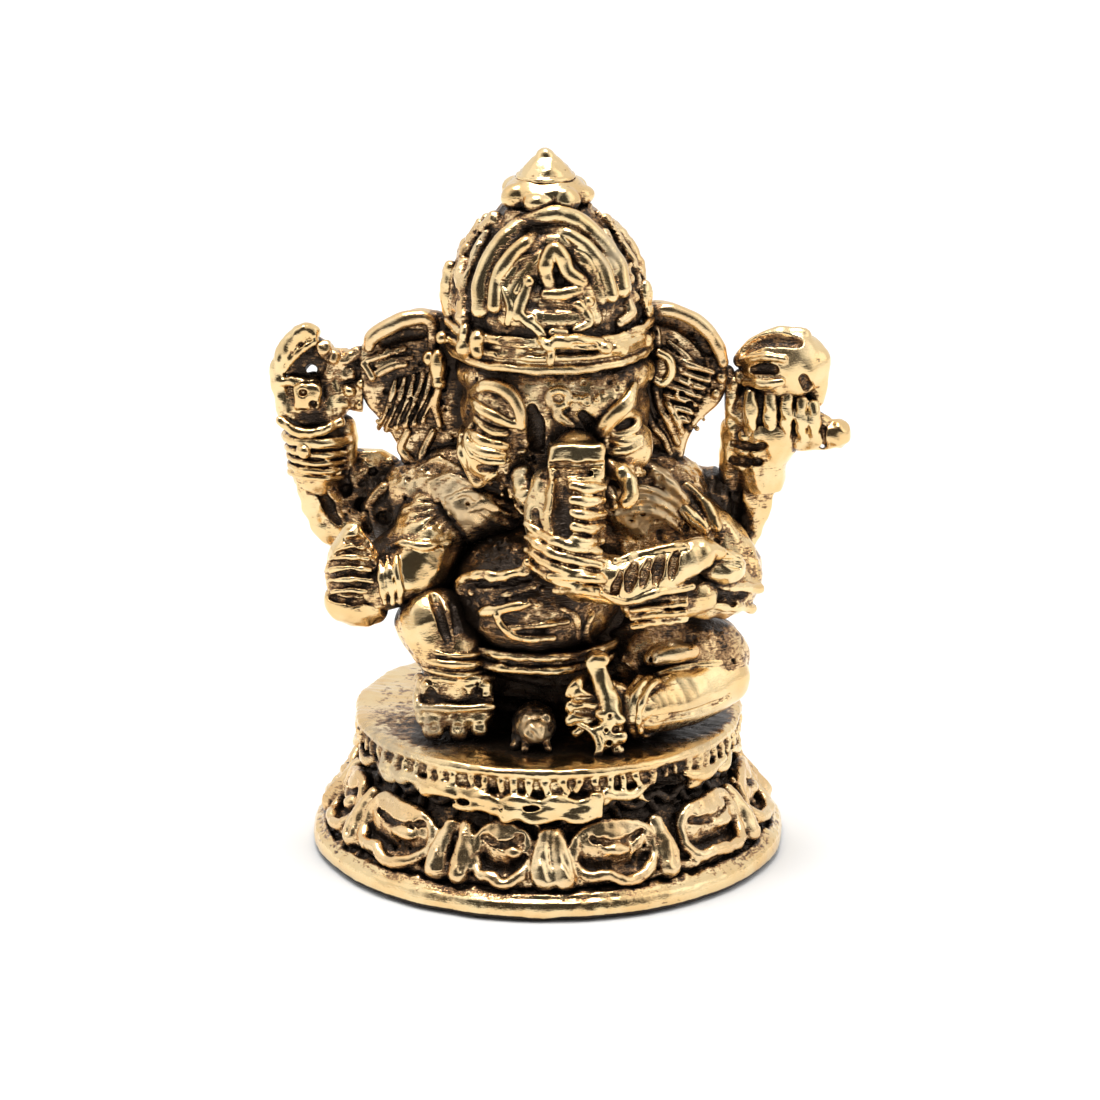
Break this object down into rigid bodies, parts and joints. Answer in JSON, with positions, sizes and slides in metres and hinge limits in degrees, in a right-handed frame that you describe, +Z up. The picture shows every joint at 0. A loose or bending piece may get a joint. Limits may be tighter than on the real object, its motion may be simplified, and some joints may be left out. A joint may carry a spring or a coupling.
{
  "type": "elephant-headed deity statuette",
  "caption": "Small cast brass elephant-headed deity seated on a round lotus pedestal, with raised hands, curled trunk and domed crown; a shelf or altar ornament.",
  "frame": {"origin": "centre of the pedestal's flat underside, where it stands", "axes": "+Z up through the crown's tip, the figure faces -Y, and its own left hand is on the +X side"},
  "size_m": [0.0252, 0.021, 0.0314],
  "materials": {
    "polished_brass": "hand polished on the high spots, with dark patina in the grooves",
    "antiqued_brass": "as cast and antiqued, black-brown patina with rubbed edges"
  },
  "bodies": {
    "root": {"base_plate": "polished_brass", "belly": "polished_brass", "belt": "polished_brass", "chest_band": "polished_brass", "crown_arch": "polished_brass", "crown_band": "polished_brass", "crown_crest": "polished_brass", "crown_dome": "antiqued_brass", "crown_side_lock_left": "polished_brass", "crown_side_lock_right": "polished_brass", "finial_ring": "polished_brass", "finial_tip": "polished_brass", "forehead_mark": "polished_brass", "front_sash": "polished_brass", "goad": "antiqued_brass", "head": "polished_brass", "left_anklet": "polished_brass", "left_brow": "polished_brass", "left_ear": "antiqued_brass", "left_ear_jewel": "polished_brass", "left_eye": "polished_brass", "left_foot": "polished_brass", "left_shin": "polished_brass", "left_thigh": "antiqued_brass", "left_tusk": "polished_brass", "lotus_bell": "antiqued_brass", "lotus_bud": "polished_brass", "lower_body": "antiqued_brass", "lower_left_arm": "polished_brass", "lower_left_hand": "polished_brass", "lower_right_arm": "polished_brass", "lower_right_fingers": "polished_brass", "lower_right_palm": "polished_brass", "mouse": "antiqued_brass", "right_anklet": "polished_brass", "right_brow": "polished_brass", "right_ear": "antiqued_brass", "right_ear_jewel": "polished_brass", "right_eye": "polished_brass", "right_foot": "polished_brass", "right_shin": "polished_brass", "right_thigh": "antiqued_brass", "right_tusk": "polished_brass", "seat_disc": "polished_brass", "sweet": "polished_brass", "torso": "antiqued_brass", "trunk": "polished_brass", "upper_left_arm": "polished_brass", "upper_left_armlet": "antiqued_brass", "upper_left_bracelet": "polished_brass", "upper_left_hand": "polished_brass", "upper_right_arm": "polished_brass", "upper_right_armlet": "antiqued_brass", "upper_right_bracelet": "polished_brass", "upper_right_hand": "polished_brass", "waist_moulding": "antiqued_brass"}
  },
  "joints": []
}
